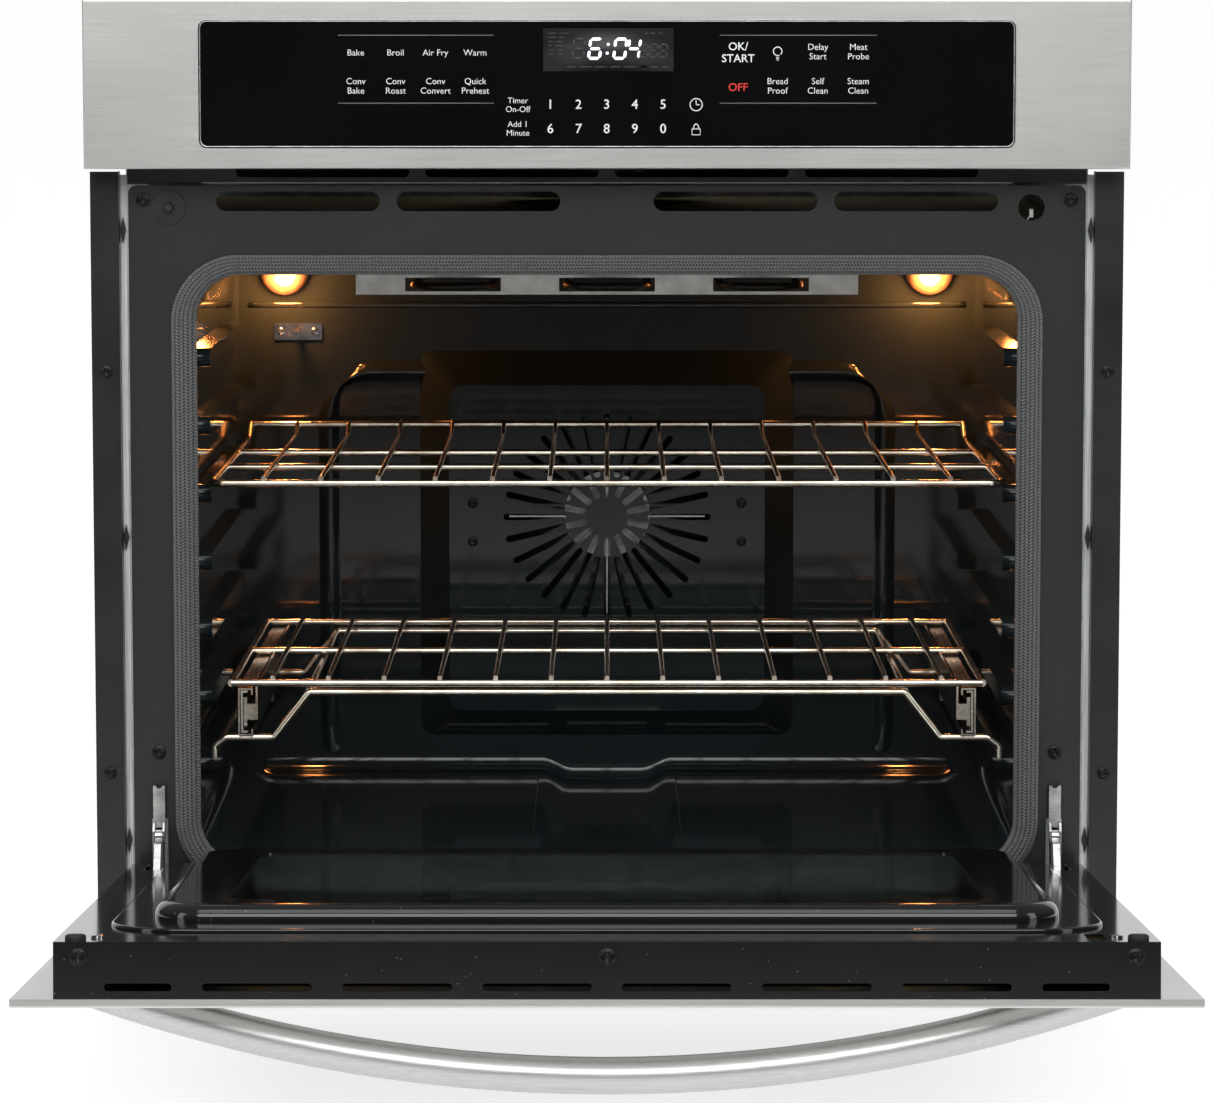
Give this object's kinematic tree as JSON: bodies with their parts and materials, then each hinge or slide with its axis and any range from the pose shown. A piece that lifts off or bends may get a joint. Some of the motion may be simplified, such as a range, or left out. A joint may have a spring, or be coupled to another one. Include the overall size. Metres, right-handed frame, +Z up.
{
  "type": "wall oven",
  "caption": "Built-in single wall oven with a touch control panel, its door hanging open, a wire rack, a gliding rack, a convection fan and all hidden working parts.",
  "frame": {"origin": "middle of the oven where the cabinet's face plane (the back of the trims) crosses the plane of the base pan's underside", "axes": "+X to the right as seen from the room, +Y into the cabinet, +Z up"},
  "size_m": [0.762, 1.1418, 0.7366],
  "materials": {
    "galvanised_steel": "zinc coated sheet, dull spangle",
    "black_porcelain": "porcelain enamel, glossy",
    "frame_porcelain": "porcelain enamel, dark grey with fine pale specks",
    "door_porcelain": "porcelain enamel, very glossy with fine pale specks",
    "glass_wool": "glass wool blanket",
    "black_trim_paint": "satin black paint",
    "stainless_steel": "brushed along its length",
    "black_glass": "opaque black glass, polished",
    "clear_glass": "clear, polished",
    "circuit_board": "green solder mask",
    "woven_gasket": "woven glass fibre, grey",
    "heater_tube": "oxidised alloy sheath, dark",
    "element_strip": "plain bright steel",
    "plated_steel": "bright nickel plate",
    "screw_steel": "black oxide",
    "spring_steel": "oiled spring wire",
    "rack_wire": "nickel plated wire",
    "fan_aluminium": "rolled, matt",
    "motor_case": "grey painted laminations",
    "black_plastic": "moulded black plastic",
    "lamp_ceramic": "unglazed steatite",
    "bumper_rubber": "moulded black rubber"
  },
  "bodies": {
    "cabinet": {"bake_element": "heater_tube", "base_pan": "galvanised_steel", "blower_housing": "galvanised_steel", "blower_motor": "motor_case", "body_screws": "screw_steel", "bottom_trim": "black_trim_paint", "broil_bracket": "element_strip", "broil_element": "heater_tube", "cavity_insulation": "glass_wool", "cavity_liner": "black_porcelain", "chassis_back": "galvanised_steel", "chassis_side_left": "galvanised_steel", "chassis_side_right": "galvanised_steel", "chassis_top": "galvanised_steel", "control_board": "circuit_board", "convection_element": "heater_tube", "display_board": "circuit_board", "door_gasket": "woven_gasket", "door_switch": "black_plastic", "fan_cover": "black_porcelain", "fan_motor": "motor_case", "front_frame": "frame_porcelain", "hinge_arms": "plated_steel", "hinge_receivers": "galvanised_steel", "lamp_bulbs": "clear_glass", "lamp_lenses": "clear_glass", "lamp_sockets": "lamp_ceramic", "latch_motor": "motor_case", "mounting_channels": "galvanised_steel", "panel_fascia": "stainless_steel", "panel_glass": "black_glass", "panel_support": "galvanised_steel", "side_trim_left": "black_trim_paint", "side_trim_right": "black_trim_paint", "temperature_sensor": "plated_steel", "trim_spacers": "black_plastic", "vent_strip": "black_trim_paint"},
    "door": {"door_skin": "stainless_steel", "door_glass_outer": "black_glass", "door_inner_panes": "clear_glass", "glass_retainer": "galvanised_steel", "door_liner": "door_porcelain", "door_insulation": "glass_wool", "door_handle": "stainless_steel", "handle_bolts": "plated_steel", "door_bumpers": "bumper_rubber", "door_screws": "screw_steel", "hinge_channels": "galvanised_steel", "hinge_pins": "plated_steel", "hinge_springs": "spring_steel"},
    "upper_rack": {"upper_rack": "rack_wire"},
    "glide_frame": {"glide_frame": "rack_wire"},
    "glide_slides": {"glide_slides": "rack_wire"},
    "glide_shelf": {"glide_shelf": "rack_wire"},
    "convection_fan": {"fan_wheel": "fan_aluminium"},
    "cooling_fan": {"blower_wheel": "fan_aluminium"},
    "door_latch": {"latch_hook": "plated_steel"},
    "door_plunger": {"switch_plunger": "black_plastic"},
    "left_hinge_lock": {"hinge_lock_left": "plated_steel"},
    "right_hinge_lock": {"hinge_lock_right": "plated_steel"}
  },
  "joints": [
    {"name": "door_hinge", "type": "hinge", "parent": "cabinet", "child": "door", "pos_m": [0, -0.017, 0.0681], "axis": [-1, 0, 0], "range_deg": [0, 85.6]},
    {"name": "upper_rack_slide", "type": "slide", "parent": "cabinet", "child": "upper_rack", "axis": [0, 1, 0], "range_m": [-0.24, 0]},
    {"name": "glide_frame_slide", "type": "slide", "parent": "cabinet", "child": "glide_frame", "axis": [0, 1, 0], "range_m": [-0.2, 0]},
    {"name": "glide_shelf_slide", "type": "slide", "parent": "glide_frame", "child": "glide_shelf", "axis": [0, 1, 0], "range_m": [-0.27, 0]},
    {"name": "glide_member_slide", "type": "slide", "parent": "glide_frame", "child": "glide_slides", "axis": [0, 1, 0], "range_m": [-0.135, 0]},
    {"name": "convection_fan_spin", "type": "hinge", "parent": "cabinet", "child": "convection_fan", "pos_m": [0, 0.474, 0.2956], "axis": [0, 1, 0], "continuous": true},
    {"name": "cooling_fan_spin", "type": "hinge", "parent": "cabinet", "child": "cooling_fan", "pos_m": [0, 0.43, 0.572], "axis": [0, 0, 1], "continuous": true},
    {"name": "door_lock_swing", "type": "hinge", "parent": "cabinet", "child": "door_latch", "pos_m": [0.3138, 0.016, 0.53], "axis": [1, 0, 0], "range_deg": [0, 32]},
    {"name": "door_switch_press", "type": "slide", "parent": "cabinet", "child": "door_plunger", "axis": [0, 1, 0], "range_m": [0, 0.003], "stiffness_N_per_m": 150, "springref_m": -0.001},
    {"name": "hinge_lock_left_flip", "type": "hinge", "parent": "cabinet", "child": "left_hinge_lock", "pos_m": [-0.335, 0.0005, 0.102], "axis": [-1, 0, 0], "range_deg": [-100, 0]},
    {"name": "hinge_lock_right_flip", "type": "hinge", "parent": "cabinet", "child": "right_hinge_lock", "pos_m": [0.335, 0.0005, 0.102], "axis": [-1, 0, 0], "range_deg": [-100, 0]}
  ],
  "couplings": [
    {"joint": "glide_member_slide", "follows": "glide_shelf_slide", "ratio": 0.5}
  ]
}
